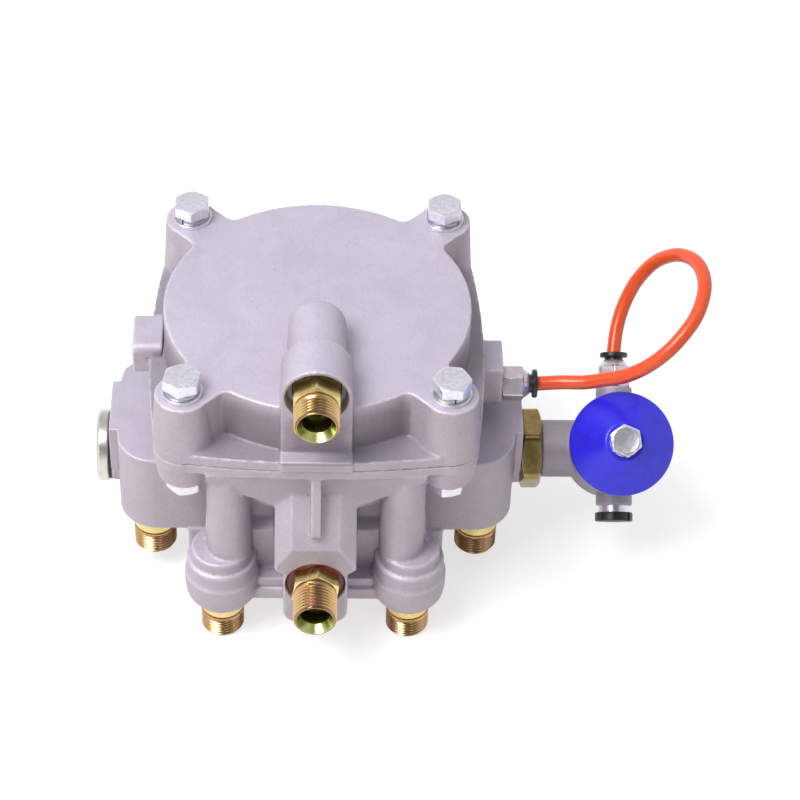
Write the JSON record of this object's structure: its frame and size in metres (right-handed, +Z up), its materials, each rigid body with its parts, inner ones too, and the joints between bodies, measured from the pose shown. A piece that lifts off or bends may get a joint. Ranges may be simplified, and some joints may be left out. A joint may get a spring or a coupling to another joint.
{
  "type": "trailer brake valve",
  "caption": "Die-cast relay-emergency brake valve with a bolted round cover, threaded port fittings and a side release valve with a conical push knob and a pilot tube.",
  "frame": {"origin": "centre of the exhaust mouth in the underside, on the main piston axis", "axes": "+Z up along the main piston axis, -Y forward out of the hose ports, +X towards the release valve"},
  "size_m": [0.3142, 0.2006, 0.1862],
  "materials": {
    "cast_aluminium": "die-cast, fine-grained satin",
    "release_casting": "die-cast, slightly darker satin",
    "machined_aluminium": "turned",
    "bright_zinc": "bright zinc plated",
    "nickel_plate": "nickel plated",
    "spring_steel": "oiled spring steel",
    "yellow_zinc": "yellow passivated zinc on steel",
    "brass_nut": "machined, darkened",
    "plug_steel": "ground and lightly passivated",
    "steel": "turned",
    "black_rubber": "matt",
    "red_rubber": "matt",
    "blue_knob": "satin anodised blue",
    "black_plastic": "moulded",
    "orange_tube": "extruded polyurethane"
  },
  "bodies": {
    "valve_housing": {"main_body": "cast_aluminium", "top_cover": "cast_aluminium", "release_body": "release_casting", "bottom_guide": "machined_aluminium", "cover_bolts": "bright_zinc", "flat_washers": "bright_zinc", "cover_nuts": "bright_zinc", "release_exhaust_ring": "bright_zinc", "top_tube_fitting": "nickel_plate", "side_tube_fitting": "nickel_plate", "spring_washers": "spring_steel", "valve_spring": "spring_steel", "emergency_spring": "spring_steel", "retaining_ring": "spring_steel", "release_ring": "spring_steel", "control_fitting": "yellow_zinc", "supply_fitting": "yellow_zinc", "front_left_fitting": "yellow_zinc", "front_right_fitting": "yellow_zinc", "side_left_fitting": "yellow_zinc", "side_right_fitting": "yellow_zinc", "release_lock_nut": "brass_nut", "side_plug": "plug_steel", "release_bush": "steel", "cover_seal": "black_rubber", "guide_seal": "black_rubber", "exhaust_flap": "black_rubber", "control_seal": "black_rubber", "side_plug_seal": "black_rubber", "supply_seal": "red_rubber", "release_exhaust_cap": "black_plastic", "pilot_tube": "orange_tube"},
    "relay_piston_body": {"relay_piston": "machined_aluminium", "relay_piston_seal": "black_rubber"},
    "valve_element_body": {"valve_element": "steel", "valve_face": "black_rubber"},
    "emergency_piston_body": {"emergency_piston": "machined_aluminium", "emergency_piston_seals": "black_rubber"},
    "release_knob_body": {"release_spool": "steel", "spool_seals": "black_rubber", "release_knob": "blue_knob", "knob_bolt": "bright_zinc", "knob_washer": "bright_zinc"},
    "side_collet_body": {"side_collet": "black_plastic"},
    "top_collet_body": {"top_collet": "black_plastic"}
  },
  "joints": [
    {"name": "relay_piston_slide", "type": "slide", "parent": "valve_housing", "child": "relay_piston_body", "axis": [0, 0, -1], "range_m": [0, 0.005]},
    {"name": "valve_element_slide", "type": "slide", "parent": "valve_housing", "child": "valve_element_body", "axis": [0, 0, -1], "range_m": [0, 0.0031], "stiffness_N_per_m": 2000, "springref_m": -0.012, "deforming": ["valve_spring"]},
    {"name": "emergency_piston_slide", "type": "slide", "parent": "valve_housing", "child": "emergency_piston_body", "axis": [0, 0, -1], "range_m": [0, 0.006], "stiffness_N_per_m": 3000, "springref_m": -0.01, "deforming": ["emergency_spring"]},
    {"name": "release_knob_slide", "type": "slide", "parent": "valve_housing", "child": "release_knob_body", "axis": [0, 0.6561, -0.7547], "range_m": [0, 0.008]},
    {"name": "side_collet_slide", "type": "slide", "parent": "valve_housing", "child": "side_collet_body", "axis": [-1, 0, 0], "range_m": [0, 0.0013], "stiffness_N_per_m": 200, "springref_m": -0.001},
    {"name": "top_collet_slide", "type": "slide", "parent": "valve_housing", "child": "top_collet_body", "axis": [0, -0.7547, -0.6561], "range_m": [0, 0.0013], "stiffness_N_per_m": 200, "springref_m": -0.001}
  ],
  "couplings": [
    {"joint": "valve_element_slide", "follows": "relay_piston_slide", "ratio": 0.62}
  ]
}
